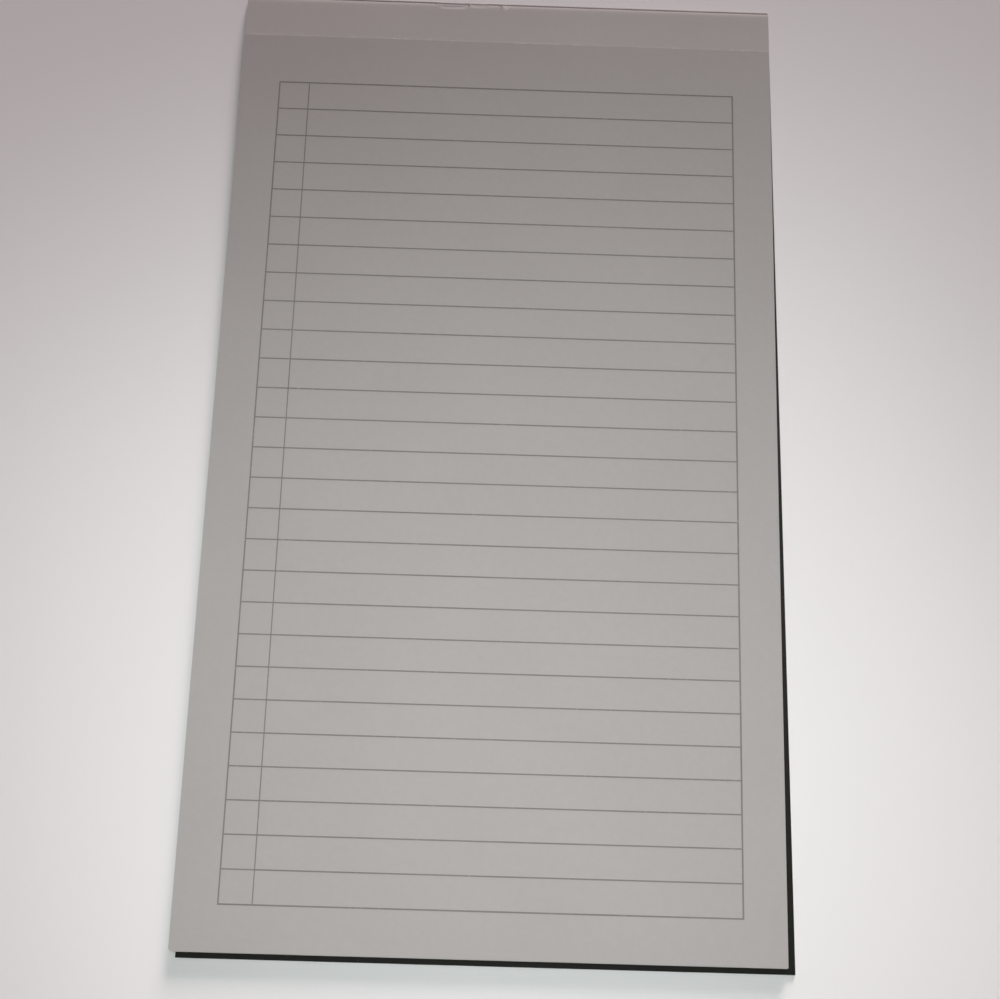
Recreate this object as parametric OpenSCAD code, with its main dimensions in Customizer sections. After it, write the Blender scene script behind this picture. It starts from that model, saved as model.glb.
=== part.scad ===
// Legal pad: a stack of ruled sheets with a tear line near the head, glued at the head edge to a black board.
// X runs across the pad, +Y runs up the page to the glued head, +Z is up, and the board lies flat on z = 0.
// The origin is the middle of the box round the whole pad, on the surface that the pad lies on.

/* [Sheets] */
// Width of a sheet, and of the board that is cut with it
sheet_w = 215.9; // [150:0.1:300]
// Length of a sheet from the tear line to the foot
leaf_len = 355.6; // [345:0.1:450]
// Length of the stub that stays in the pad above the tear line
stub_len = 19.05; // [12:0.05:35]
// Thickness of the stack of sheets below the tear line
stack_t = 2.8; // [2.6:0.1:8]
// Radius of the worn left corner of the sheets at the foot
foot_left_r = 1.3; // [0.2:0.1:6]
// Radius of the right corner of the sheets at the foot
foot_right_r = 0.4; // [0.2:0.1:6]
// Layers in which the fanned edges of the stack are drawn
fan_layers = 7; // [3:1:12]
// How far the lowest sheet lies to the right of the top one
fan_right = 0.5; // [0.1:0.1:1.5]
// How far the lowest sheet reaches past the top one at the foot
fan_foot = 0.6; // [0.1:0.1:0.8]

/* [Head] */
// How much thinner the glued head edge is than the stack below the tear line
head_pinch = 1.2; // [0.4:0.1:1.5]
// Radius to which the top edge of the head is rolled over
head_roll_r = 0.5; // [0.2:0.1:0.8]
// Thickness of the film of binding glue on the head
glue_t = 0.15; // [0.1:0.05:0.5]
// How far the glue laps over from the head edge onto the top sheet
glue_lap = 0.8; // [0.8:0.1:3]

/* [Tear line] */
// Distance from one slit to the next
slit_pitch = 2.4; // [2:0.1:6]
// Length of one slit
slit_len = 1.4; // [0.8:0.1:1.6]
// Width of one slit
slit_w = 0.15; // [0.1:0.05:0.5]

/* [Ruling] */
// Number of rows in the ruled box
rows = 27; // [1:1:27]
// Height of one row
row_pitch = 11.8; // [5:0.1:12]
// Clear paper between the tear line and the ruled box
top_margin = 21; // [12:0.5:24]
// Clear paper between the left edge of the sheet and the ruled box
left_margin = 16; // [8:0.5:25]
// Clear paper between the right edge of the sheet and the ruled box
right_margin = 15.5; // [8:0.5:25]
// Width of the narrow column down the left side of the ruled box
column_w = 12; // [6:0.5:30]
// Width of the line between two rows
rule_w = 0.5; // [0.2:0.05:1]
// Width of the lines of the frame and of the column
frame_w = 0.55; // [0.2:0.05:1]
// Thickness of the printed ink
ink_t = 0.05; // [0.02:0.01:0.1]

/* [Backing board] */
// Thickness of the board
board_t = 0.9; // [0.5:0.1:3]
// How far the board lies to the right of the top sheet
board_right = 3.1; // [0.5:0.05:5]
// How far the board stands out past the top sheet at the foot
board_foot = 2.6; // [0.8:0.1:6]
// How much its right edge, cut out of square, runs in from the foot to the head
board_taper = 2.5; // [0.1:0.1:3]

/* [Hidden] */
$fn = 48;
// How far a cut runs past the face that it opens
over = 1;
// The top sheet has its left edge on x = 0, and the tear line is on y = 0
head_y = stub_len;
foot_y = -leaf_len;
stack_top = board_t + stack_t;
layer_t = stack_t / fan_layers;
board_foot_y = foot_y - board_foot;
board_right_x = sheet_w + board_right;
// The box round everything, which sets the origin
right_x = max(sheet_w + fan_right, board_right_x);
low_y = min(foot_y - fan_foot, board_foot_y);
middle = [right_x / 2, (low_y + head_y + glue_t) / 2, 0];
// The stub slopes down from the tear line, and the rolled edge is an arc between that slope and the head
stub_slope = atan(head_pinch / stub_len);
roll_y = head_y - head_roll_r;
roll_z = slope_z(roll_y, 0) - head_roll_r / cos(stub_slope);
roll_steps = 8;
slit_count = floor((sheet_w - slit_len) / slit_pitch) + 1;
first_slit_x = (sheet_w - (slit_count - 1) * slit_pitch - slit_len) / 2;
box_w = sheet_w - left_margin - right_margin;
box_h = rows * row_pitch;

// Brings a piece from the corner of the top sheet to the origin
module placed() {
    translate(-middle) children();
}

// Draws a side view, which is in y and z, out across the pad
module across(from, to) {
    translate([from, 0, 0]) rotate([90, 0, 90]) linear_extrude(to - from) children();
}

// The left side of a sheet: a strip as wide as the radius of its corner at the foot, down to that corner
module sheet_side(foot, corner_r) {
    translate([0, foot + corner_r]) square([corner_r, head_y - foot - corner_r]);
    translate([corner_r, foot + corner_r]) circle(r = corner_r);
}

// Outline of one sheet, with a round corner on each side of the foot
module sheet_outline(foot) {
    translate([foot_left_r, foot]) square([sheet_w - foot_left_r - foot_right_r, head_y - foot]);
    sheet_side(foot, foot_left_r);
    translate([sheet_w, 0]) mirror([1, 0]) sheet_side(foot, foot_right_r);
}

// The stack in layers: the lower a layer is, the further it lies to the right and reaches at the foot
module fanned_stack() {
    for (i = [0 : fan_layers - 1]) {
        share = 1 - i / (fan_layers - 1);
        translate([share * fan_right, 0, board_t + i * layer_t])
            linear_extrude(layer_t) sheet_outline(foot_y - share * fan_foot);
    }
}

// Height of the stub's slope at y, and the points of the rolled edge, both a film outside the paper
function slope_z(y, film) = stack_top - y * tan(stub_slope) + film / cos(stub_slope);
function roll_arc(film) = [
    for (i = [0 : roll_steps])
        let (turn = (90 - stub_slope) * (1 - i / roll_steps))
        [roll_y + (head_roll_r + film) * cos(turn), roll_z + (head_roll_r + film) * sin(turn)]
];
function backwards(points) = [for (i = [len(points) - 1 : -1 : 0]) points[i]];

// Side view of the room above the stub and outside the rolled edge, which the pressed head leaves free
module above_stub() {
    polygon(concat(
        [[0, stack_top]],
        roll_arc(0),
        [[head_y + over, roll_z], [head_y + over, stack_top + over], [0, stack_top + over]]
    ));
}

// The tear line: a row of slits through every sheet
module tear_line() {
    for (i = [0 : slit_count - 1])
        translate([first_slit_x + i * slit_pitch, -slit_w / 2, board_t - over])
            cube([slit_len, slit_w, stack_t + 2 * over]);
}

module sheets() {
    color([0.86, 0.85, 0.83]) placed() difference() {
        fanned_stack();
        across(-over, sheet_w + fan_right + over) above_stub();
        tear_line();
    }
}

// The ruled box: ink all over, less the paper that shows in each cell of the two columns
module ruling() {
    color([0.42, 0.42, 0.41]) placed()
        translate([left_margin, -top_margin - box_h, stack_top]) linear_extrude(ink_t) difference() {
            translate([-frame_w / 2, -frame_w / 2]) square([box_w + frame_w, box_h + frame_w]);
            for (row = [0 : rows - 1]) {
                low = row * row_pitch + (row == 0 ? frame_w : rule_w) / 2;
                high = (row + 1) * row_pitch - (row == rows - 1 ? frame_w : rule_w) / 2;
                translate([frame_w / 2, low]) square([column_w - frame_w, high - low]);
                translate([column_w + frame_w / 2, low])
                    square([box_w - column_w - frame_w, high - low]);
            }
        }
}

module backing_board() {
    color([0.12, 0.12, 0.11]) placed() linear_extrude(board_t) polygon([
        [board_right, board_foot_y],
        [board_right_x, board_foot_y],
        [board_right_x - board_taper, head_y],
        [board_right, head_y]
    ]);
}

// The film of glue: it laps onto the top sheet, follows the rolled edge and covers the head of the board
module head_glue() {
    lap_y = head_y - glue_lap;
    color([0.42, 0.38, 0.37]) placed() across(0, sheet_w) polygon(concat(
        [[lap_y, slope_z(lap_y, 0)]],
        roll_arc(0),
        [[head_y, 0], [head_y + glue_t, 0]],
        backwards(roll_arc(glue_t)),
        [[lap_y, slope_z(lap_y, glue_t)]]
    ));
}

sheets();
ruling();
backing_board();
head_glue();
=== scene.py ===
# %% [markdown]
# # A legal pad, dressed in Blender
# The solid model of the pad comes in as a fixed frame: a stack of sheets, the printed ruling, a black board
# and the film of glue at the head. This notebook gives each of them the surface that the real thing has:
# single leaves with cut edges, a creased tear line, ink that lies on the paper, board with a fibrous face.
# The frame says where everything is, so each piece takes its place from the solid that it stands for.

# %% Load the frame
import math

import bpy
from mathutils import Matrix, Vector, noise


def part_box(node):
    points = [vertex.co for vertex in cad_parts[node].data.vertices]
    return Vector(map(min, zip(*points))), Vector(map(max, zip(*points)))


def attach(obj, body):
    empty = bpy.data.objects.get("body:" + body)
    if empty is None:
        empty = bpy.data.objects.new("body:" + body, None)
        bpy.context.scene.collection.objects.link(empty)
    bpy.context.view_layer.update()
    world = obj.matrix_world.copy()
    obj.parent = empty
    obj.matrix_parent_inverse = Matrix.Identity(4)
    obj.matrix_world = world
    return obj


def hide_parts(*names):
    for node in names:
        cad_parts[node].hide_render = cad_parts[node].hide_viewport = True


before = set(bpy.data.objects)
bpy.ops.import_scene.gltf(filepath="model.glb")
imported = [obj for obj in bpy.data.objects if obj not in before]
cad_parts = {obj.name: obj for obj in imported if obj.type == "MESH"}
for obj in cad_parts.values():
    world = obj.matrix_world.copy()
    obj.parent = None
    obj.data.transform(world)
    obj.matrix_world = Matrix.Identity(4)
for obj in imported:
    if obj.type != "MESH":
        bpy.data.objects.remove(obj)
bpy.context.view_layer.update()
print("nodes:", sorted(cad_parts))

# %% [markdown]
# ## Sizes
# A pad is flat and thin, so it helps to think in page coordinates: `across` runs from the left edge of the
# top sheet, `up` runs from the tear line towards the head, and both are in millimetres, the unit a printer
# would use. Blender itself works in metres. One function turns page coordinates into a point of the frame,
# and everything else is built through it.

# %% Page coordinates
MM = 0.001
STUB_LEN = 19.05
FAN_RIGHT = 0.5
FAN_FOOT = 0.6
LEAVES = 28

sheets_low, sheets_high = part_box("sheets")
ink_low, ink_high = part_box("ruling")
board_low, board_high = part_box("backing_board")
glue_low, glue_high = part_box("head_glue")

page_left = glue_low.x
head_edge = sheets_high.y
tear_line = head_edge - STUB_LEN * MM
page_w = (glue_high.x - glue_low.x) / MM
foot = (sheets_low.y - tear_line) / MM + FAN_FOOT
page_top = sheets_high.z / MM
board_top = board_high.z / MM
leaf_t = (page_top - board_top) / LEAVES


def on_page(across, up, z):
    """The point of the frame, in metres, for a place on the page and a height in millimetres."""
    return Vector((page_left + across * MM, tear_line + up * MM, z * MM))


print("page", round(page_w, 1), "mm wide, foot at", round(foot, 1), "head at", STUB_LEN)
print("top sheet at", round(page_top, 2), "mm, board", round(board_top, 2), "mm, leaf", round(leaf_t, 2))

# %% [markdown]
# ## Camera
# The photo looks almost straight down, from a spot over the lower half of the page, with the foot nearer
# than the head. Where the camera stood was worked out from the ruling, whose size is known. A camera in
# Blender looks down its own -Z axis, so three facts set it: where the eye is, what it looks at, and how far
# it is rolled about that line. The focal length follows from the picture's perspective.

# %% Place the camera
EYE_MM = (-1.81, -110.52, 424.70)
AIM_MM = (1.06, -22.40, 3.7)
ROLL_DEG = 3.61
FOCAL_PX = 1140.8
PICTURE_W_PX = 1000
SENSOR_MM = 36.0
NEAREST = 0.01


def make_camera():
    """A camera at the eye that looks at the aim and is rolled about that line."""
    eye = Vector(EYE_MM) * MM
    forward = (Vector(AIM_MM) * MM - eye).normalized()
    level_right = forward.cross(Vector((0, 0, 1))).normalized()
    level_up = level_right.cross(forward)
    roll = math.radians(ROLL_DEG)
    right = math.cos(roll) * level_right + math.sin(roll) * level_up
    up = right.cross(forward)
    data = bpy.data.cameras.new("pad_camera")
    data.sensor_fit = "HORIZONTAL"
    data.sensor_width = SENSOR_MM
    data.lens = FOCAL_PX / PICTURE_W_PX * SENSOR_MM
    data.clip_start = NEAREST
    camera = bpy.data.objects.new("pad_camera", data)
    turn = Matrix((right, up, -forward)).transposed().to_4x4()
    camera.matrix_world = Matrix.Translation(eye) @ turn
    bpy.context.scene.collection.objects.link(camera)
    bpy.context.scene.camera = camera
    return camera


camera = make_camera()
print("camera at, mm:", [round(v / MM) for v in camera.matrix_world.translation])
print("lens, mm:", round(camera.data.lens, 1))

# %% [markdown]
# ## Writing node trees down
# Both the shapes that repeat and all the finishes below are node trees. Clicked together in the editor they
# would be quick to make and hard to keep, so here they are written as code. One helper adds a node, sets it
# up, feeds its sockets from numbers or from other nodes, and hands back the output that the next node
# needs. Written this way a tree reads from top to bottom, like the steps of a recipe.

# %% Helpers for nodes
WELD = 1e-7
SHARP_DEG = 35


def add(tree, kind, feeds=None, out=0, **settings):
    """Adds a node, feeds its sockets by name or number, and gives back one of its outputs."""
    made = tree.nodes.new(kind)
    for name, value in settings.items():
        setattr(made, name, value)
    for name, value in (feeds or {}).items():
        if isinstance(value, bpy.types.NodeSocket):
            tree.links.new(value, made.inputs[name])
        else:
            made.inputs[name].default_value = value
    return made.outputs[out]


def calc(tree, operation, *values):
    """One Math node: values are numbers or outputs of other nodes."""
    return add(tree, "ShaderNodeMath", dict(enumerate(values)), operation=operation)


def between(tree, value, low, high):
    """1 where a value lies between two bounds, and 0 elsewhere."""
    over_low = calc(tree, "GREATER_THAN", value, low)
    return calc(tree, "MULTIPLY", over_low, calc(tree, "LESS_THAN", value, high))


def geometry_tree(name, sizes):
    """A new Geometry Nodes tree with one named input for each size, and those inputs by name."""
    tree = bpy.data.node_groups.new(name, "GeometryNodeTree")
    tree.interface.new_socket("Geometry", in_out="INPUT", socket_type="NodeSocketGeometry")
    tree.interface.new_socket("Geometry", in_out="OUTPUT", socket_type="NodeSocketGeometry")
    for label, value in sizes.items():
        kind = "NodeSocketInt" if isinstance(value, int) else "NodeSocketFloat"
        tree.interface.new_socket(label, in_out="INPUT", socket_type=kind)
    return tree, tree.nodes.new("NodeGroupInput").outputs


def end_tree(tree, geometry, material):
    """Closes a tree: instances become real mesh, and the mesh gets its material."""
    real = add(tree, "GeometryNodeRealizeInstances", {"Geometry": geometry})
    dressed = add(tree, "GeometryNodeSetMaterial", {"Geometry": real, "Material": material})
    tree.links.new(dressed, tree.nodes.new("NodeGroupOutput").inputs[0])


def thicken(tree, surface, depth):
    """Turns an open surface into a closed plate that reaches down from it by a depth."""
    under = add(tree, "GeometryNodeFlipFaces", {"Mesh": surface})
    down = add(tree, "ShaderNodeCombineXYZ", {"Z": calc(tree, "MULTIPLY", depth, -1.0)})
    shell = add(tree, "GeometryNodeExtrudeMesh", {"Mesh": under, "Offset": down, "Individual": False})
    both = tree.nodes.new("GeometryNodeJoinGeometry")
    for part in (surface, shell):
        tree.links.new(part, both.inputs[0])
    return add(tree, "GeometryNodeMergeByDistance", {"Geometry": both.outputs[0], "Distance": WELD})


def shade(piece):
    """Smooth shading, with a crisp line wherever two faces meet at a steep angle."""
    piece.data.shade_smooth()
    piece.data.set_sharp_from_angle(angle=math.radians(SHARP_DEG))


def grow(surface, tree, sizes, name):
    """Runs a tree on a surface and keeps what it makes as a plain mesh."""
    modifier = surface.modifiers.new(name, "NODES")
    modifier.node_group = tree
    for item in tree.interface.items_tree:
        if item.in_out == "INPUT" and item.name in sizes:
            modifier[item.identifier] = sizes[item.name]
    depsgraph = bpy.context.evaluated_depsgraph_get()
    mesh = bpy.data.meshes.new_from_object(surface.evaluated_get(depsgraph), depsgraph=depsgraph)
    bpy.data.objects.remove(surface)
    mesh.name = name
    piece = bpy.data.objects.new(name, mesh)
    bpy.context.scene.collection.objects.link(piece)
    shade(piece)
    print(name, "has", sum(len(face.vertices) - 2 for face in mesh.polygons), "triangles")
    return piece


# %% [markdown]
# ## Writing paper
# Writing paper is matt and nearly white, but never one flat colour. Held to the light it shows a cloudy
# pattern, which papermakers call its formation, and close to it shows fibres. Both can be painted with
# noise on Object coordinates, which stay fixed to the piece from every side. Cut edges are painted darker
# than the face, a painted shade for the light lost between the fibres, and the direction in which a face
# looks is enough to find them. No two leaves of a pile are cut quite alike, so the edges are streaked: noise
# that is drawn out about eighty times along the pile shows this even from too far away to see a single leaf.
# The lips of the tear line and one pucker at the head are painted whiter, a painted highlight where they
# catch the light, and fibres soaked with glue look greyer. Where that is so depends on how each piece was
# made, so the pieces will keep two numbers at their points, and the finish reads them by name.

# %% Finish: paper
PAPER_LIGHT = (0.465, 0.451, 0.433, 1)
PAPER_DARK = (0.443, 0.428, 0.410, 1)
# Colours of the cut edges: painted shade, darker than the face on the whole, with random streaks.
SHADED_EDGE_DARK = (0.28, 0.269, 0.252, 1)
SHADED_EDGE_LIGHT = (0.52, 0.50, 0.475, 1)
# A painted highlight for the lips of the tear line and the dry pucker, whiter than paper.
PAPER_HIGHLIGHT = (0.74, 0.715, 0.70, 1)
PAPER_SOAKED = (0.37, 0.36, 0.368, 1)
FORMATION_MM, PATCH_MM, FIBRE_MM, STREAK_MM = 2.2, 45, 0.25, 0.4
FORMATION_SHARE, PATCH_SHARE = 0.55, 0.45
ALONG_PILE = (0.012, 0.012, 1)
PAPER_RELIEF = 0.02


def finish(name, **constants):
    """A new material, its Principled shader with some constants set, and its Object coordinates."""
    material = bpy.data.materials.new(name)
    material.use_nodes = True
    tree = material.node_tree
    shader = tree.nodes["Principled BSDF"]
    for label, value in constants.items():
        shader.inputs[label.replace("_", " ")].default_value = value
    place = tree.nodes.new("ShaderNodeTexCoord").outputs["Object"]
    return material, tree, shader, place


def cloud(tree, place, size_mm, detail=2.0, stretch=(1, 1, 1), rough=0.5):
    """Noise from 0 to 1 whose features are about size_mm across."""
    scale = tuple(factor / (size_mm * MM) for factor in stretch)
    spot = add(tree, "ShaderNodeMapping", {"Vector": place, "Scale": scale})
    feeds = {"Vector": spot, "Scale": 1.0, "Detail": detail, "Roughness": rough}
    return add(tree, "ShaderNodeTexNoise", feeds)


def blend(tree, share, first, second):
    """A colour between two others: share runs from 0, all first, to 1, all second."""
    mix = tree.nodes.new("ShaderNodeMix")
    mix.data_type = "RGBA"
    for socket, value in ((0, share), (6, first), (7, second)):
        if isinstance(value, bpy.types.NodeSocket):
            tree.links.new(value, mix.inputs[socket])
        else:
            mix.inputs[socket].default_value = value
    return mix.outputs[2]


def stepped(tree, value, low, high):
    """Stretches a value so that low becomes 0 and high becomes 1."""
    return add(tree, "ShaderNodeMapRange", {"Value": value, "From Min": low, "From Max": high})


def mark(tree, name):
    """A number that a mesh keeps at its points under a name, and 0 on a piece that keeps none."""
    return add(tree, "ShaderNodeAttribute", out="Fac", attribute_name=name)


def make_paper():
    """Matt paper: cloudy on its face, painted darker and streaked on cut edges as painted shade, and whiter
    or greyer where it is marked.
    """
    material, tree, shader, place = finish("writing_paper", Roughness=0.88, Specular_IOR_Level=0.25)
    formation = cloud(tree, place, FORMATION_MM, detail=4)
    patches = cloud(tree, place, PATCH_MM, detail=1)
    fibres = cloud(tree, place, FIBRE_MM, detail=3, stretch=(1, 0.2, 1))
    fine = calc(tree, "MULTIPLY", formation, FORMATION_SHARE)
    mottle = calc(tree, "ADD", fine, calc(tree, "MULTIPLY", patches, PATCH_SHARE))
    face = blend(tree, stepped(tree, mottle, 0.3, 0.7), PAPER_LIGHT, PAPER_DARK)
    # Faces that look sideways, the cut edges, take the edge colours: a painted shade, darker than the face on
    # the whole, with streaks that vary at random.
    looks = add(tree, "ShaderNodeSeparateXYZ", {0: add(tree, "ShaderNodeNewGeometry", out="Normal")}, out="Z")
    level = stepped(tree, calc(tree, "ABSOLUTE", looks), 0.25, 0.75)
    streaks = cloud(tree, place, STREAK_MM, detail=2, stretch=ALONG_PILE, rough=0.6)
    shaded_edge = blend(tree, stepped(tree, streaks, 0.35, 0.65), SHADED_EDGE_DARK, SHADED_EDGE_LIGHT)
    dry = blend(tree, level, shaded_edge, face)
    flat = blend(tree, mark(tree, "soaked"), dry, PAPER_SOAKED)
    # Points marked for a painted highlight are painted whiter: the tear line's lips and the dry pucker.
    tree.links.new(blend(tree, mark(tree, "painted_highlight"), flat, PAPER_HIGHLIGHT), shader.inputs["Base Color"])
    relief = calc(tree, "ADD", fibres, calc(tree, "MULTIPLY", formation, 2.0))
    bump = add(tree, "ShaderNodeBump", {"Height": relief, "Strength": 0.25, "Distance": PAPER_RELIEF * MM})
    tree.links.new(bump, shader.inputs["Normal"])
    return material


paper = make_paper()
print("paper finish has", len(paper.node_tree.nodes), "nodes")

# %% [markdown]
# ## Ink, board and glue
# The ruling is printed with a grey ink that breaks up a little on the fibres, so its colour runs towards
# that of paper where a noise is high. The board is black-faced chipboard: long pressed fibres, a few
# lighter flecks, and a surface that is not quite even. The padding glue is a rubbery film of a warm dark
# grey, with just enough gloss to look like a film and not like paper.

# %% Finishes: ink, board, glue
INK = (0.220, 0.212, 0.192, 1)
INK_WORN = (0.328, 0.317, 0.296, 1)
BOARD_FACE = (0.0105, 0.0100, 0.0085, 1)
BOARD_FIBRE = (0.021, 0.020, 0.017, 1)
BOARD_FLECK = (0.055, 0.052, 0.045, 1)
GLUE_DARK = (0.10, 0.091, 0.088, 1)
GLUE_PALE = (0.175, 0.159, 0.154, 1)
INK_BREAK_MM, INK_FADE_MM, INK_FADE = 1.6, 28, 0.35
BOARD_FIBRE_MM, BOARD_LUMP_MM, BOARD_FLECK_MM, BOARD_RELIEF = 0.5, 6, 0.9, 0.06
GLUE_STREAK_MM, GLUE_RIPPLE_MM, GLUE_RELIEF = 3.0, 0.8, 0.05


def make_ink():
    """Grey ink that fades slowly along the lines and breaks up on the fibres."""
    material, tree, shader, place = finish("ruling_ink", Roughness=0.8, Specular_IOR_Level=0.25)
    breaks = stepped(tree, cloud(tree, place, INK_BREAK_MM, detail=3), 0.55, 0.78)
    strength = stepped(tree, cloud(tree, place, INK_FADE_MM, detail=1), 0.2, 0.8)
    worn = calc(tree, "MAXIMUM", calc(tree, "MULTIPLY", strength, INK_FADE), breaks)
    tree.links.new(blend(tree, worn, INK, INK_WORN), shader.inputs["Base Color"])
    return material


def make_board():
    """Black board with pressed fibres and a few lighter flecks."""
    material, tree, shader, place = finish("black_chipboard", Specular_IOR_Level=0.3)
    fibres = cloud(tree, place, BOARD_FIBRE_MM, detail=4, stretch=(1, 0.25, 1), rough=0.65)
    lumps = cloud(tree, place, BOARD_LUMP_MM, detail=2)
    specks = cloud(tree, place, BOARD_FLECK_MM, detail=2, stretch=(1, 0.5, 1))
    flecks = stepped(tree, specks, 0.70, 0.76)
    ground = blend(tree, stepped(tree, fibres, 0.35, 0.7), BOARD_FACE, BOARD_FIBRE)
    tree.links.new(blend(tree, flecks, ground, BOARD_FLECK), shader.inputs["Base Color"])
    rough = add(tree, "ShaderNodeMapRange", {"Value": fibres, "To Min": 0.62, "To Max": 0.85})
    tree.links.new(rough, shader.inputs["Roughness"])
    relief = calc(tree, "ADD", fibres, calc(tree, "MULTIPLY", lumps, 1.5))
    bump = add(tree, "ShaderNodeBump", {"Height": relief, "Strength": 0.5, "Distance": BOARD_RELIEF * MM})
    tree.links.new(bump, shader.inputs["Normal"])
    return material


def make_glue():
    """Warm dark grey dried glue, streaked across the pad, with a fine ripple."""
    material, tree, shader, place = finish("padding_glue", Roughness=0.6, Specular_IOR_Level=0.3)
    drawn_out = cloud(tree, place, GLUE_STREAK_MM, detail=3, stretch=(0.4, 1, 1))
    streaks = stepped(tree, drawn_out, 0.3, 0.75)
    tree.links.new(blend(tree, streaks, GLUE_DARK, GLUE_PALE), shader.inputs["Base Color"])
    ripple = cloud(tree, place, GLUE_RIPPLE_MM, detail=2)
    bump = add(tree, "ShaderNodeBump", {"Height": ripple, "Strength": 0.4, "Distance": GLUE_RELIEF * MM})
    tree.links.new(bump, shader.inputs["Normal"])
    return material


ink, board_black, glue = make_ink(), make_board(), make_glue()
print("finishes:", [material.name for material in (paper, ink, board_black, glue)])

# %% [markdown]
# ## The lie of the paper
# Paper in a pad is never a perfect plane. Below the tear line it rests flat, with a slack of a tenth of a
# millimetre or so. Above it the glue squeezes the leaves together, so the stub falls away towards the head,
# a little more on the left than on the right. The last two millimetres bend down faster and faster to the
# lip of the glue, which an exponential describes well, and in three places leaves were pulled off and left
# a dent in the bend. Writing all this as one height function has a great advantage: the top sheet, the ink
# on it and the leaves under it can all follow the same shape, and never cut through each other.

# %% Height of the top sheet
PINCH_LEFT, PINCH_RIGHT = 1.45, 1.35
BEND_START, BEND_LEN = 0.9, 0.65
BEND_SLOPE, GLUED_SLOPE = 0.42, 0.1
CREASE_DEPTH, CREASE_REACH = 0.06, 5.0
SLACK, SLACK_FADE = 0.12, 12.0
WAVES = ((0.007, 0.0043, 0.4), (-0.004, 0.008, 2.1), (0.011, -0.0027, 4.0))
DENTS = ((77.8, 92.6, 3.6, 0.22), (90.8, 101.0, 2.8, 0.19), (104.6, 110.4, 3.3, 0.12))
DENT_WALL, DENT_END = 1.6, 3.0
PROBES = ((10, foot + 10), (108, -170), (200, -20), (20, STUB_LEN), (190, STUB_LEN))


def smooth(t):
    """0 below 0, 1 above 1, and a soft step between them."""
    t = min(max(t, 0.0), 1.0)
    return t * t * (3 - 2 * t)


def slack(across, up):
    """How far the paper lies below its highest place: a few long, shallow waves."""
    waves = sum(math.sin(2 * math.pi * (a * across + b * up) + shift) for a, b, shift in WAVES)
    return SLACK * (0.5 - waves / (2 * len(WAVES)))


def bend(up):
    """How far the paper has bent down: faster and faster to the lip of the glue, then straight beneath it."""
    past = up - (STUB_LEN - BEND_START)
    return BEND_SLOPE * BEND_LEN * math.exp(min(past, 0.0) / BEND_LEN) + GLUED_SLOPE * max(past, 0.0)


def dents(across, up):
    """How far the bend is pressed in where leaves were pulled off."""
    depth = 0.0
    for start, end, reach, drop in DENTS:
        inside = smooth((across - start) / DENT_END) * smooth((end - across) / DENT_END)
        depth += drop * inside * smooth((up - STUB_LEN + reach * inside) / DENT_WALL)
    return depth


def pile_z(across, up):
    """Height of the pile of leaves, in millimetres, if nothing had been pulled off it."""
    z = page_top - slack(across, up) * smooth((STUB_LEN - up) / SLACK_FADE)
    z -= CREASE_DEPTH * math.exp(-((up / CREASE_REACH) ** 2))
    if up > 0:
        pinch = PINCH_LEFT + (PINCH_RIGHT - PINCH_LEFT) * across / page_w
        z -= pinch * up / STUB_LEN + bend(up)
    return z


def paper_z(across, up):
    """Height of the top sheet's upper face, in millimetres."""
    return pile_z(across, up) - dents(across, up)


for place in PROBES:
    print("paper at", [round(v) for v in place], "is", round(paper_z(*place), 2), "mm up")

# %% [markdown]
# ## A sheet as a grid
# Each leaf starts as an open surface: a grid whose lines sit wherever the outline, a crease or a slit needs
# them, laid on the height function. A sheet of paper could also be a box with holes cut by Boolean
# modifiers, but those leave long thin triangles that shade badly on such a flat thing. A grid with lines in
# the right places can have any of its cells taken out later, and stays clean.

# %% Helper for grids
LEFT_CORNER_R, RIGHT_CORNER_R = 1.3, 0.4
SAME_LINE = 1e-3


def spaced(start, end, step):
    """Evenly spaced grid lines from start to end, no more than step apart."""
    count = max(1, math.ceil(abs(end - start) / step))
    return [start + (end - start) * i / count for i in range(count + 1)]


def grid_lines(*groups):
    """One sorted list of grid lines, without doubles."""
    lines = sorted(value for group in groups for value in group)
    return [value for k, value in enumerate(lines) if k == 0 or value - lines[k - 1] > SAME_LINE]


def corner_rows(radius, steps):
    """Grid lines that follow a round corner at the foot."""
    return [foot + radius * (1 - math.cos(math.pi / 2 * i / steps)) for i in range(steps + 1)]


def corner_inset(radius, above):
    """How far a round corner lies inside the square one, at a height above the foot."""
    below = max(0.0, radius - above)
    return radius - math.sqrt(radius ** 2 - below ** 2)


def leaf_across(across, up):
    """Pulls a grid line in at the foot, so that the two corners there come out round."""
    left = corner_inset(LEFT_CORNER_R, up - foot)
    right = corner_inset(RIGHT_CORNER_R, up - foot)
    return left + across * (page_w - left - right) / page_w


def surface(name, columns, rows, place):
    """An open grid that faces up; place(across, up) gives a point in metres."""
    points = [place(across, up) for up in rows for across in columns]
    wide = len(columns)
    faces = [
        (j * wide + i, j * wide + i + 1, (j + 1) * wide + i + 1, (j + 1) * wide + i)
        for j in range(len(rows) - 1) for i in range(wide - 1)
    ]
    mesh = bpy.data.meshes.new(name)
    mesh.from_pydata(points, [], faces)
    made = bpy.data.objects.new(name, mesh)
    bpy.context.scene.collection.objects.link(made)
    return made


def on_leaf(across, up):
    """A point of the top sheet's upper face."""
    return on_page(leaf_across(across, up), up, paper_z(across, up))
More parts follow.
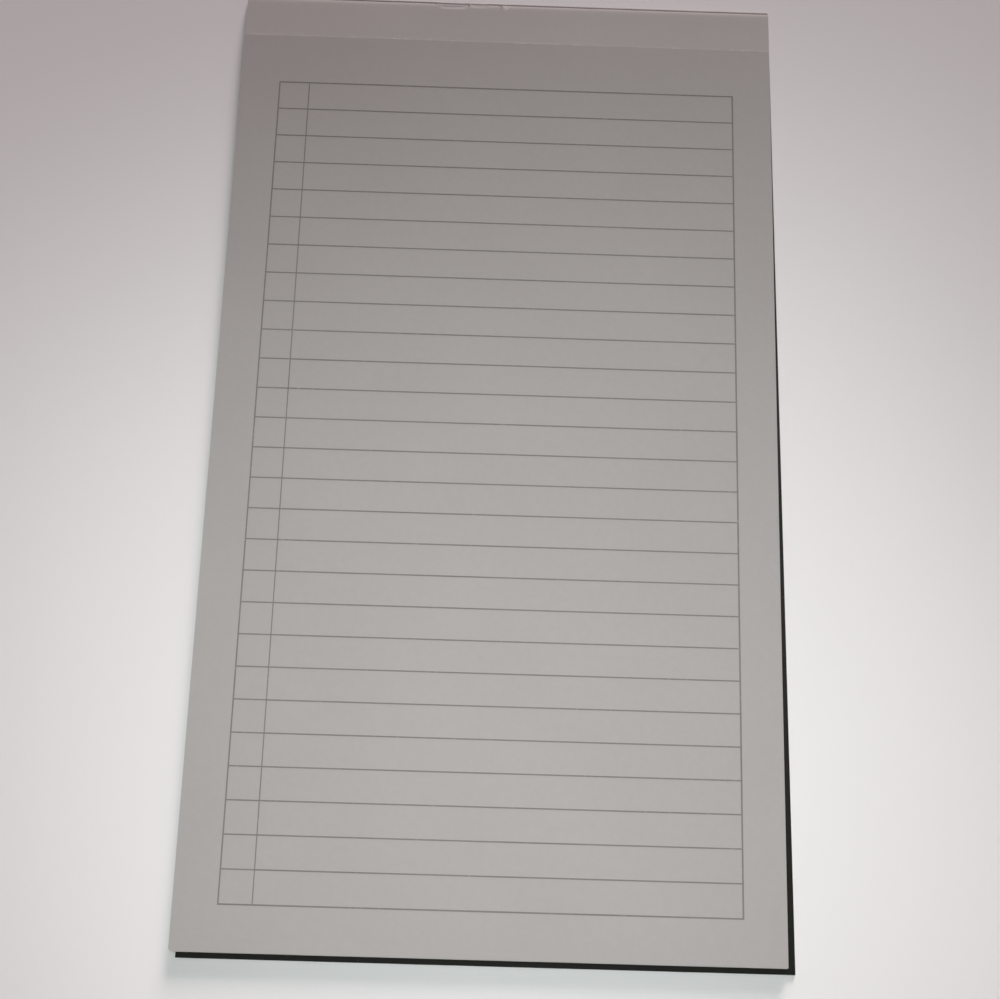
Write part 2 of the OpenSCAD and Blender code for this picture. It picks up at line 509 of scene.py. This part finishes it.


# %% [markdown]
# ## The tear line
# The tear line is a row of fine cuts through the sheet, made by a toothed wheel, with short bridges of
# paper between them. Where the sheet has been bent at the line, the lips on the stub's side stand up by a
# hair, more in some places than in others, and catch the light. Ninety cuts in a row are work for Geometry
# Nodes: a face of the grid goes if it lies on the line and within the cut part of the pitch, the points
# above the cuts rise by a random amount that a slow noise gathers into groups, and only then does the sheet
# get its thickness. The same amount is kept at the points as a number, and the finish reads it to paint the
# lips whiter: a painted highlight on top of the light that the raised lips catch.

# %% Tree: tear line
SLIT_PITCH, SLIT_LEN, SLIT_W = 2.4, 1.4, 0.04
LIP_RISE, LIP_REACH, LIP_GROUP = 0.08, 0.7, 14.0
LEAST_LIP, LEAST_GROUP, LEAST_HIGHLIGHT = 0.15, 0.2, 0.4
LIP_SEED = 5
CREASE_ROOM, BEND_ROOM, DENT_ROWS = 1.5, 6, 4
slit_count = math.floor((page_w - SLIT_LEN) / SLIT_PITCH) + 1
first_slit = (page_w - (slit_count - 1) * SLIT_PITCH - SLIT_LEN) / 2

tear_sizes = {
    "Slit pitch": SLIT_PITCH * MM,
    "Slit length": SLIT_LEN * MM,
    "Slit width": SLIT_W * MM,
    "First slit": page_left + first_slit * MM,
    "Slit count": slit_count,
    "Tear line": tear_line,
    "Lip rise": LIP_RISE * MM,
    "Lip reach": LIP_REACH * MM,
    "Lip group": LIP_GROUP * MM,
    "Leaf thickness": leaf_t * MM,
}


def tear_line_tree():
    """Cuts the slits, raises their lips and gives the sheet its thickness."""
    tree, size = geometry_tree("tear_line", tear_sizes)
    spot = add(tree, "ShaderNodeSeparateXYZ", {0: add(tree, "GeometryNodeInputPosition")}).node.outputs
    turn = calc(tree, "DIVIDE", calc(tree, "SUBTRACT", spot["X"], size["First slit"]), size["Slit pitch"])
    phase = calc(tree, "MULTIPLY", calc(tree, "FRACT", turn), size["Slit pitch"])
    in_row = between(tree, turn, 0.0, size["Slit count"])
    in_slit = calc(tree, "MULTIPLY", calc(tree, "LESS_THAN", phase, size["Slit length"]), in_row)
    above = calc(tree, "SUBTRACT", spot["Y"], size["Tear line"])
    half = calc(tree, "MULTIPLY", size["Slit width"], 0.5)
    cut = calc(tree, "MULTIPLY", in_slit, calc(tree, "LESS_THAN", calc(tree, "ABSOLUTE", above), half))
    along = calc(tree, "DIVIDE", phase, size["Slit length"])
    arch = calc(tree, "SINE", calc(tree, "MULTIPLY", calc(tree, "MINIMUM", along, 1.0), math.pi))
    fall = calc(tree, "SUBTRACT", 1.0, calc(tree, "DIVIDE", above, size["Lip reach"]))
    near = calc(tree, "MULTIPLY", calc(tree, "MAXIMUM", fall, 0.0), calc(tree, "GREATER_THAN", above, 0.0))
    number = calc(tree, "FLOOR", turn)
    draw = {2: LEAST_LIP, 3: 1.0, "ID": number, "Seed": LIP_SEED}
    chance = add(tree, "FunctionNodeRandomValue", draw, out=1)
    pace = calc(tree, "DIVIDE", spot["X"], size["Lip group"])
    slow = add(tree, "ShaderNodeTexNoise", {"W": pace, "Scale": 1.0}, noise_dimensions="1D")
    spread = {"Value": slow, "From Min": 0.4, "From Max": 0.6, "To Min": LEAST_GROUP}
    group = add(tree, "ShaderNodeMapRange", spread)
    on_lip = calc(tree, "MULTIPLY", near, in_row)
    open_lip = calc(tree, "MULTIPLY", on_lip, calc(tree, "MULTIPLY", chance, group))
    rise = calc(tree, "MULTIPLY", calc(tree, "MULTIPLY", arch, open_lip), size["Lip rise"])
    lift = add(tree, "ShaderNodeCombineXYZ", {"Z": rise})
    lifted = add(tree, "GeometryNodeSetPosition", {"Geometry": size["Geometry"], "Offset": lift})
    # The number kept at the lips paints them whiter in the finish: a painted highlight.
    most = calc(tree, "MULTIPLY", arch, 1 - LEAST_HIGHLIGHT)
    fibres = calc(tree, "MULTIPLY", open_lip, calc(tree, "ADD", LEAST_HIGHLIGHT, most))
    kept = {"Geometry": lifted, "Name": "painted_highlight", "Value": fibres}
    marked = add(tree, "GeometryNodeStoreNamedAttribute", kept)
    slit = add(tree, "GeometryNodeDeleteGeometry", {"Geometry": marked, "Selection": cut}, domain="FACE")
    end_tree(tree, thicken(tree, slit, size["Leaf thickness"]), paper)
    return tree


slit_starts = [first_slit + i * SLIT_PITCH for i in range(slit_count)]
slit_columns = [start + share * SLIT_LEN for start in slit_starts for share in (0, 0.5, 1)]
leaf_rows = grid_lines(
    corner_rows(LEFT_CORNER_R, 5),
    corner_rows(RIGHT_CORNER_R, 3),
    spaced(foot + LEFT_CORNER_R, -CREASE_ROOM, 9),
    [-SLIT_W / 2, SLIT_W / 2, LIP_REACH],
    spaced(CREASE_ROOM, STUB_LEN - BEND_ROOM, 3),
    spaced(STUB_LEN - BEND_ROOM, STUB_LEN - DENT_ROWS, 0.5),
    spaced(STUB_LEN - DENT_ROWS, STUB_LEN, 0.2),
)
top_surface = surface("top_surface", grid_lines([0, page_w], slit_columns), leaf_rows, on_leaf)
top_leaf = grow(top_surface, tear_line_tree(), tear_sizes, "top_leaf")
print("slits:", slit_count, "the first at", round(first_slit, 2), "mm")

# %% [markdown]
# ## The leaves beneath
# Under the top sheet lie the other leaves, and only their edges show: a hair's breadth each, not quite
# flush, and drifting to the right and towards the foot the lower they lie. Modelling one and repeating it
# is the natural way. The tree places one copy per leaf, numbers the copies, and lets the number do the
# rest: it sets how much of the stack's height lies under the leaf, how far it has drifted and how thick it
# may be where the stack is squeezed. Under the dents these leaves keep lower than they need to, out of
# sight, so that none can poke through.

# %% Tree: leaf stack
SCATTER = 0.07
DENT_ROOM, DENT_SIDE, DENT_DEEP, DENT_FADE = 0.45, 8, 6, 3
PACKED = 0.9
STACK_SEED = 11
DENTS_FROM, DENTS_TO = 70, 118
stack_sizes = {
    "Leaves": LEAVES - 1,
    "Board top": board_top * MM,
    "Head": head_edge,
    "Drift right": FAN_RIGHT * MM,
    "Drift to foot": FAN_FOOT * MM,
    "Leaf length": (STUB_LEN - foot) * MM,
    "Scatter": SCATTER * MM,
    "Seed": STACK_SEED,
}


def leaf_stack_tree():
    """Repeats one leaf, and lays each copy lower, further right and nearer the foot."""
    tree, size = geometry_tree("leaf_stack", stack_sizes)
    dots = add(tree, "GeometryNodePoints", {"Count": size["Leaves"]})
    number = calc(tree, "ADD", add(tree, "GeometryNodeInputIndex"), 1.0)
    kept = {"Geometry": dots, "Name": "leaf", "Value": number}
    numbered = add(tree, "GeometryNodeStoreNamedAttribute", kept)
    copies = add(tree, "GeometryNodeInstanceOnPoints", {"Points": numbered, "Instance": size["Geometry"]})
    leaves = add(tree, "GeometryNodeRealizeInstances", {"Geometry": copies})
    leaf = add(tree, "GeometryNodeInputNamedAttribute", {"Name": "leaf"})
    share = calc(tree, "DIVIDE", leaf, calc(tree, "ADD", size["Leaves"], 1.0))
    spot = add(tree, "ShaderNodeSeparateXYZ", {0: add(tree, "GeometryNodeInputPosition")}).node.outputs
    height = calc(tree, "SUBTRACT", spot["Z"], size["Board top"])
    drop = calc(tree, "MULTIPLY", height, calc(tree, "SUBTRACT", share, 1.0))
    from_head = calc(tree, "DIVIDE", calc(tree, "SUBTRACT", size["Head"], spot["Y"]), size["Leaf length"])
    lower = calc(tree, "SUBTRACT", 1.0, share)
    stray = []
    for turn, low_end in ((0.0, 0.0), (1.0, -1.0)):
        seed = calc(tree, "ADD", size["Seed"], turn)
        draw = {2: low_end, 3: low_end + 1.0, "ID": leaf, "Seed": seed}
        chance = add(tree, "FunctionNodeRandomValue", draw, out=1)
        stray.append(calc(tree, "MULTIPLY", size["Scatter"], chance))
    right = calc(tree, "ADD", calc(tree, "MULTIPLY", size["Drift right"], lower), stray[0])
    down = calc(tree, "SUBTRACT", stray[1], calc(tree, "MULTIPLY", size["Drift to foot"], lower))
    furthest = calc(tree, "MULTIPLY", size["Drift to foot"], -1.0)
    down = calc(tree, "MULTIPLY", calc(tree, "MAXIMUM", down, furthest), from_head)
    shift = add(tree, "ShaderNodeCombineXYZ", {"X": right, "Y": down, "Z": drop})
    placed = add(tree, "GeometryNodeSetPosition", {"Geometry": leaves, "Offset": shift})
    gap_free = calc(tree, "MULTIPLY", calc(tree, "DIVIDE", height, leaf), PACKED)
    end_tree(tree, thicken(tree, placed, gap_free), paper)
    return tree


def on_lower_leaf(across, up):
    """A point of the leaves' common shape, kept low under the dents."""
    start, end = DENTS[0][0] - DENT_SIDE, DENTS[-1][1] + DENT_SIDE
    room = DENT_ROOM * smooth((across - start) / DENT_SIDE) * smooth((end - across) / DENT_SIDE)
    z = pile_z(across, up) - room * smooth((up - STUB_LEN + DENT_DEEP) / DENT_FADE)
    return on_page(leaf_across(across, up), up, z)


stack_rows = grid_lines(
    corner_rows(LEFT_CORNER_R, 3),
    corner_rows(RIGHT_CORNER_R, 2),
    spaced(foot + LEFT_CORNER_R, -1, 20),
    [0],
    spaced(4, STUB_LEN - 4, 4),
    spaced(STUB_LEN - 4, STUB_LEN, 0.8),
)
stack_columns = grid_lines(
    [0, page_w],
    spaced(12, DENTS_FROM, 12),
    spaced(DENTS_FROM, DENTS_TO, 4),
    spaced(DENTS_TO, page_w - 12, 12),
)
stack_surface = surface("stack_surface", stack_columns, stack_rows, on_lower_leaf)
leaf_stack = grow(stack_surface, leaf_stack_tree(), stack_sizes, "leaf_stack")
print("leaves under the top sheet:", LEAVES - 1)

# %% [markdown]
# ## The ruling
# The page is printed with one box, a narrow column down its left side and twenty-six lines across. Print
# has next to no thickness, but drawn as a texture it would blur in a close view, so it is a skin of ink of
# its own. The grid has a line on both sides of every printed line, and the tree takes out each cell that is
# bare paper. The skin follows the same height function as the sheet, so it lies on the paper everywhere.
# In the photo the line of the column is fainter than the frame and the right one is stronger, so they are
# drawn a little thinner and a little wider.

# %% Tree: ruling
ROWS = 27
COLUMN_W = 12.0
RULE_W, FRAME_W = 0.5, 0.55
COLUMN_LINE_W, RIGHT_LINE_W = 0.43, 0.62
INK_RISE, INK_T = 0.022, 0.04
INK_STEP, INK_INSET = 8, 7

box_left = (ink_low.x - page_left) / MM + FRAME_W / 2
box_right = (ink_high.x - page_left) / MM - FRAME_W / 2
box_foot = (ink_low.y - tear_line) / MM + FRAME_W / 2
box_head = (ink_high.y - tear_line) / MM - FRAME_W / 2
row_pitch = (box_head - box_foot) / ROWS

rule_sizes = {
    "Row pitch": row_pitch * MM,
    "Rule width": RULE_W * MM,
    "Frame width": FRAME_W * MM,
    "Column line width": COLUMN_LINE_W * MM,
    "Right line width": RIGHT_LINE_W * MM,
    "Column width": COLUMN_W * MM,
    "Box left": page_left + box_left * MM,
    "Box right": page_left + box_right * MM,
    "Box foot": tear_line + box_foot * MM,
    "Ink thickness": INK_T * MM,
}


def ruling_tree():
    """Takes the bare paper out of the grid and thickens the lines that are left."""
    tree, size = geometry_tree("ruling", rule_sizes)
    spot = add(tree, "ShaderNodeSeparateXYZ", {0: add(tree, "GeometryNodeInputPosition")}).node.outputs
    half_frame = calc(tree, "MULTIPLY", size["Frame width"], 0.5)
    half_column = calc(tree, "MULTIPLY", size["Column line width"], 0.5)
    half_right = calc(tree, "MULTIPLY", size["Right line width"], 0.5)
    half_rule = calc(tree, "MULTIPLY", size["Rule width"], 0.5)
    middle_line = calc(tree, "ADD", size["Box left"], size["Column width"])
    rise = calc(tree, "DIVIDE", calc(tree, "SUBTRACT", spot["Y"], size["Box foot"]), size["Row pitch"])
    in_row = calc(tree, "MULTIPLY", calc(tree, "FRACT", rise), size["Row pitch"])
    open_row = between(tree, in_row, half_rule, calc(tree, "SUBTRACT", size["Row pitch"], half_rule))
    narrow = (size["Box left"], half_frame, middle_line, half_column)
    wide = (middle_line, half_column, size["Box right"], half_right)
    open_columns = []
    for left_line, left_half, right_line, right_half in (narrow, wide):
        start = calc(tree, "ADD", left_line, left_half)
        end = calc(tree, "SUBTRACT", right_line, right_half)
        open_columns.append(between(tree, spot["X"], start, end))
    frame_share = calc(tree, "DIVIDE", half_frame, size["Row pitch"])
    inside = between(tree, rise, frame_share, calc(tree, "SUBTRACT", float(ROWS), frame_share))
    open_cell = calc(tree, "MULTIPLY", open_row, inside)
    bare = calc(tree, "MULTIPLY", open_cell, calc(tree, "ADD", *open_columns))
    cells = {"Geometry": size["Geometry"], "Selection": bare}
    lines = add(tree, "GeometryNodeDeleteGeometry", cells, domain="FACE")
    end_tree(tree, thicken(tree, lines, size["Ink thickness"]), ink)
    return tree


def both_sides(place, width):
    """The two grid lines along the sides of one printed line."""
    return [place - width / 2, place + width / 2]


column_line = box_left + COLUMN_W
ink_columns = grid_lines(
    both_sides(box_left, FRAME_W),
    both_sides(column_line, COLUMN_LINE_W),
    spaced(column_line + INK_INSET, box_right - INK_INSET, INK_STEP),
    both_sides(box_right, RIGHT_LINE_W),
)
ink_rows = grid_lines(
    both_sides(box_foot, FRAME_W),
    *(both_sides(box_foot + row * row_pitch, RULE_W) for row in range(1, ROWS)),
    both_sides(box_head, FRAME_W),
)


def on_ink(across, up):
    """A point of the ink's upper face, a little above the paper."""
    return on_page(across, up, paper_z(across, up) + INK_RISE)


ink_surface = surface("ink_surface", ink_columns, ink_rows, on_ink)
ruled_ink = grow(ink_surface, ruling_tree(), rule_sizes, "ruled_ink")
print("rows", ROWS, "of", round(row_pitch, 2), "mm, box", round(box_right - box_left, 1), "mm wide")

# %% [markdown]
# ## The head: glue and torn slivers
# Pads are bound by brushing liquid rubber over the pressed head edge. It dries to a film that wraps from
# the board up over the leaves and laps a little onto the top sheet, with a lip that wanders. A sweep of one
# section would do, but the lip has to wander and follow the paper, so the film is a ring of points for
# every half millimetre across, joined into a closed skin. Where leaves were pulled off, thin slivers of
# them stay behind in the glue, and the glue has run into the nicks between them.

# %% Glue film
GLUE_T, GLUE_LAP = 0.14, 0.85
GLUE_STEP = 0.5
GLUE_ROUND_R, GLUE_TURNS_DEG = 0.4, (25, 50, 72)
GLUE_BULGE, BULGE_SHARES = 0.05, (0.3, 0.65)
LIP_T, LIP_TUCK, LIP_SUNK, CREST_SUNK = 0.004, 0.05, 0.03, 0.04
LAP_WANDER = ((0.16, 6, 1.5), (0.08, 1.3, 7.5))
THIN_WANDER = (0.03, 4, 3.5)
NICKS = ((78.0, 0.6, 0.4), (91.6, 1.3, 0.45), (105.0, 2.4, 0.42))


def wander(across, pace, seed):
    """A slow random value from about -1 to 1 along the head."""
    return noise.noise(Vector((across / pace, seed, 0.0)))


def lap(across):
    """How far the glue reaches down from the head edge onto the top sheet."""
    reach = GLUE_LAP
    for size, pace, seed in LAP_WANDER:
        reach += size * wander(across, pace, seed)
    for place, extra, spread in NICKS:
        reach += extra * math.exp(-(((across - place) / spread) ** 2))
    return reach


def glue_ring(across):
    """Points round the film's section: up the board's head face, over the bend and back inside."""
    size, pace, seed = THIN_WANDER
    thick = GLUE_T - size * abs(wander(across, pace, seed))
    crest = paper_z(across, STUB_LEN)
    face, shoulder = STUB_LEN + thick, crest - GLUE_ROUND_R
    ring = [(face, 0.0), (face, board_top), (face, shoulder)]
    half_r = GLUE_ROUND_R / 2
    for turn_deg in GLUE_TURNS_DEG:
        turn = math.radians(turn_deg)
        up = STUB_LEN - half_r + (half_r + thick) * math.cos(turn)
        ring.append((up, shoulder + (GLUE_ROUND_R + GLUE_BULGE) * math.sin(turn)))
    for share in BULGE_SHARES:
        up = STUB_LEN - share * lap(across)
        ring.append((up, paper_z(across, up) + GLUE_BULGE * (1.2 - share)))
    lip = STUB_LEN - lap(across)
    tucked = lip + LIP_TUCK
    ring.append((lip, paper_z(across, lip) + LIP_T))
    ring.append((tucked, paper_z(across, tucked) - LIP_SUNK))
    ring += [(STUB_LEN, crest - CREST_SUNK), (STUB_LEN, 0.0)]
    return ring


def skin(name, rings, material):
    """A closed skin over a row of rings, with a flat cap at both ends."""
    count = len(rings[0])
    points = [point for ring in rings for point in ring]
    faces = [
        (k * count + i, k * count + (i + 1) % count, (k + 1) * count + (i + 1) % count, (k + 1) * count + i)
        for k in range(len(rings) - 1) for i in range(count)
    ]
    last = (len(rings) - 1) * count
    faces += [tuple(reversed(range(count))), tuple(range(last, last + count))]
    mesh = bpy.data.meshes.new(name)
    mesh.from_pydata(points, [], faces)
    mesh.materials.append(material)
    made = bpy.data.objects.new(name, mesh)
    bpy.context.scene.collection.objects.link(made)
    shade(made)
    print(name, "has", len(faces), "faces")
    return made


glue_film = skin(
    "glue_film",
    [[on_page(across, *point) for point in glue_ring(across)] for across in spaced(0, page_w, GLUE_STEP)],
    glue,
)

# %% [markdown]
# ## Torn slivers
# Each sliver is what is left of a leaf that was pulled off badly: a crescent of paper two to four
# millimetres deep that lies in its dent and ends in a feathered edge. It is a skin over rings again, each
# ring a flat section of the crescent, thickest at the glue and next to nothing at the torn edge. Two of
# them are soaked with glue, and the last is a dry pucker that is painted a little whiter, a painted
# highlight: the two numbers that the finish reads tell them apart.

# %% Slivers
SLIVER_T, FEATHER_T = 0.05, 0.008
SLIVER_START, SLIVER_LEAST = 0.8, 0.1
SLIVER_LIFT, SLIVER_CLEAR = 0.012, 0.002
SLIVER_STEP, SLIVER_SHARES = 0.25, (0.0, 0.25, 0.5, 0.75, 0.92, 1.0)
SLIVER_BLUNT = 0.6
TORN_WANDER, BUCKLE_WANDER = (0.12, 0.8, 9.5), (0.01, 1.1, 2.5)
# The dry pucker, sliver_right, is marked for a painted highlight, a little whiter than paper.
SLIVERS = (
    ("sliver_left", 78.6, 91.3, 2.3, 0.35, {"soaked": 1.0, "painted_highlight": 0.0}),
    ("sliver_middle", 91.9, 100.0, 1.75, 0.6, {"soaked": 0.7, "painted_highlight": 0.0}),
    ("sliver_right", 105.6, 109.2, 3.7, 0.25, {"soaked": 0.0, "painted_highlight": 0.15}),
)


def sliver_depth(across, start, end, deep, lean):
    """How far a sliver reaches down from the head: deepest at a share, lean, of its length."""
    share = (across - start) / (end - start)
    skewed = share ** (math.log(0.5) / math.log(lean))
    arch = math.sin(math.pi * min(max(skewed, 0.0), 1.0)) ** SLIVER_BLUNT
    size, pace, seed = TORN_WANDER
    torn = size * wander(across, pace, seed) * arch
    return SLIVER_START + SLIVER_LEAST + (deep - SLIVER_START) * arch + torn


def sliver_ring(across, depth):
    """Points round a sliver's section: its upper face down to the torn edge, and back underneath."""
    size, pace, seed = BUCKLE_WANDER
    top = []
    for share in SLIVER_SHARES:
        up = STUB_LEN - SLIVER_START - share * (depth - SLIVER_START)
        lift = FEATHER_T + (SLIVER_T - FEATHER_T) * (1 - share ** 2)
        lift += SLIVER_LIFT + size * wander(across, pace, seed) * (1 - share)
        top.append((up, paper_z(across, up) + lift))
    under = [(up, paper_z(across, up) + SLIVER_CLEAR) for up, _ in reversed(top)]
    return top + under


def make_sliver(name, start, end, deep, lean, marks):
    """One torn sliver, with the numbers at its points that the paper finish reads."""
    rings = []
    for across in spaced(start, end, SLIVER_STEP):
        depth = sliver_depth(across, start, end, deep, lean)
        rings.append([on_page(across, *point) for point in sliver_ring(across, depth)])
    sliver = skin(name, rings, paper)
    for label, value in marks.items():
        numbers = sliver.data.attributes.new(label, "FLOAT", "POINT")
        numbers.data.foreach_set("value", [value] * len(numbers.data))
    return sliver


slivers = [make_sliver(*facts) for facts in SLIVERS]

# %% [markdown]
# ## The backing board
# The board is a plain slab of chipboard, cut a little out of square: it is widest at the foot, where it
# reaches further to the left, and its right edge runs in towards the head. A guillotine leaves edges that
# are crisp but not razor sharp, so the slab gets a bevel of a tenth of a millimetre, which is enough to
# catch a line of light.

# %% Board
BOARD_TAPER = 2.5
BOARD_SPREAD = 1.2
BEVEL = 0.12


def make_back_board():
    """The slab of the board, out of square as in the photo, with bevelled edges."""
    low, high = board_low, board_high
    foot_left, head_right = low.x - BOARD_SPREAD * MM, high.x - BOARD_TAPER * MM
    outline = [(foot_left, low.y), (high.x, low.y), (head_right, high.y), (low.x, high.y)]
    points = [Vector((x, y, z)) for z in (low.z, high.z) for x, y in outline]
    sides = [(i, (i + 1) % 4, (i + 1) % 4 + 4, i + 4) for i in range(4)]
    mesh = bpy.data.meshes.new("back_board")
    mesh.from_pydata(points, [], [(3, 2, 1, 0), (4, 5, 6, 7)] + sides)
    slab = bpy.data.objects.new("back_board", mesh)
    bpy.context.scene.collection.objects.link(slab)
    bevel = slab.modifiers.new("bevel", "BEVEL")
    bevel.width = BEVEL * MM
    bevel.segments = 2
    depsgraph = bpy.context.evaluated_depsgraph_get()
    slab.data = bpy.data.meshes.new_from_object(slab.evaluated_get(depsgraph), depsgraph=depsgraph)
    slab.modifiers.clear()
    slab.data.materials.append(board_black)
    shade(slab)
    return slab


back_board = make_back_board()
print("board, mm:", [round(v / MM, 2) for v in back_board.dimensions])

# %% [markdown]
# ## Floor
# The pad lies on a plain pale floor: one large face, several metres wide, so that its edge stays far away
# from the pad in every view. It belongs to the picture and not to the pad.

# %% Floor
FLOOR_SIZE = 6.0
FLOOR_DARK = (0.90, 0.895, 0.885, 1)
FLOOR_LIGHT = (0.93, 0.925, 0.915, 1)
FLOOR_TONE_MM = 300


def make_floor():
    """One large pale face on the ground."""
    material, tree, shader, place = finish("pale_floor", Roughness=0.9, Specular_IOR_Level=0.1)
    tone = cloud(tree, place, FLOOR_TONE_MM, detail=1)
    tree.links.new(blend(tree, tone, FLOOR_DARK, FLOOR_LIGHT), shader.inputs["Base Color"])
    half = FLOOR_SIZE / 2
    mesh = bpy.data.meshes.new("floor")
    corners = [(-half, -half, 0), (half, -half, 0), (half, half, 0), (-half, half, 0)]
    mesh.from_pydata(corners, [], [(0, 1, 2, 3)])
    mesh.materials.append(material)
    floor = bpy.data.objects.new("floor", mesh)
    bpy.context.scene.collection.objects.link(floor)
    return floor


floor = make_floor()
print("floor, m:", FLOOR_SIZE)

# %% [markdown]
# ## Lights
# Two lamps and the world do what the room did in the photo. A soft lamp hangs above the lower half of the
# page, which is why the page is brightest there and falls off towards the head. A low light from behind
# the head picks out the stub and the bend at the glue. It is a sun lamp with a wide disc: a lamp of some
# size near the pad would burn out the floor beside it, while a sun falls evenly on everything and its
# width still softens the shadows.

# %% Lights
KEY_PLACE, KEY_AIM = (-0.004, -0.065, 0.53), (0.017, -0.128, 0.0)
KEY_SIZE, KEY_SPREAD_DEG = 0.4, 49
KEY_WATTS, KEY_TINT = 0.315, (0.937, 1.0, 0.996)
SUN_RISE_DEG, SUN_TURN_DEG, SUN_DISC_DEG = 15, 10, 20
SUN_STRENGTH, SUN_TINT = 3.64, (1.0, 0.857, 0.871)


def make_light(name, kind, place, aim, strength, colour, **settings):
    """A lamp at one place that looks at another, with any other settings of its kind."""
    data = bpy.data.lights.new(name, kind)
    data.energy = strength
    data.color = colour
    for label, value in settings.items():
        setattr(data, label, value)
    light = bpy.data.objects.new(name, data)
    light.location = place
    light.rotation_euler = (Vector(aim) - Vector(place)).to_track_quat("-Z", "Y").to_euler()
    light.visible_camera = False
    bpy.context.scene.collection.objects.link(light)
    return light


key_size = {"size": KEY_SIZE, "spread": math.radians(KEY_SPREAD_DEG)}
key = make_light("key", "AREA", KEY_PLACE, KEY_AIM, KEY_WATTS, KEY_TINT, **key_size)
sun_rise, sun_turn = math.radians(SUN_RISE_DEG), math.radians(SUN_TURN_DEG)
level = math.cos(sun_rise)
sun_place = (level * math.sin(sun_turn), level * math.cos(sun_turn), math.sin(sun_rise))
disc = {"angle": math.radians(SUN_DISC_DEG)}
back = make_light("back", "SUN", sun_place, (0.0, 0.0, 0.0), SUN_STRENGTH, SUN_TINT, **disc)
print("lights:", key.name, back.name)

# %% [markdown]
# ## World
# The world gives a weak fill light in all directions, which keeps the shadows open. Seen past the edge of
# the floor it would be a dark wall, so the camera is shown another colour in its place: the one that the
# floor has far from the pad, where only the sun and the world light it. It is worked out from their
# strengths, and a Light Path node keeps it from lighting anything.

# %% World
WORLD_STRENGTH, WORLD_TINT = 0.121, (1.0, 0.976, 0.979)


def far_floor():
    """The colour of the floor far from the pad, and full opacity."""
    sun_share = SUN_STRENGTH * math.sin(sun_rise) / math.pi
    parts = zip(FLOOR_DARK, SUN_TINT, WORLD_TINT)
    return (*(ground * (sun_share * sun + WORLD_STRENGTH * sky) for ground, sun, sky in parts), 1)


def make_world():
    """A weak light from all round, behind a backdrop that only the camera sees."""
    world = bpy.data.worlds.new("pale_room")
    world.use_nodes = True
    tree = world.node_tree
    tree.nodes.remove(tree.nodes["Background"])
    fill = add(tree, "ShaderNodeBackground", {"Color": (*WORLD_TINT, 1), "Strength": WORLD_STRENGTH})
    backdrop = add(tree, "ShaderNodeBackground", {"Color": far_floor(), "Strength": 1.0})
    seen = add(tree, "ShaderNodeLightPath", out="Is Camera Ray")
    mixed = add(tree, "ShaderNodeMixShader", {0: seen, 1: fill, 2: backdrop})
    tree.links.new(mixed, tree.nodes["World Output"].inputs["Surface"])
    return world


bpy.context.scene.world = make_world()
bpy.context.scene.view_settings.view_transform = "Standard"
print("far floor:", [round(v, 3) for v in far_floor()[:3]])

# %% [markdown]
# ## Handing over
# Each piece now joins the one body that it moves with, and the solid that it stands for is hidden. A pad
# has no moving parts, so there is just one body.

for piece, node_name, slot_name in (
    (top_leaf, "sheets", "paper"),
    (leaf_stack, "sheets", "paper"),
    *((sliver, "sheets", "paper") for sliver in slivers),
    (ruled_ink, "ruling", "ink"),
    (back_board, "backing_board", "board"),
    (glue_film, "head_glue", "glue"),
):
    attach(piece, "root")
    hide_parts(node_name)
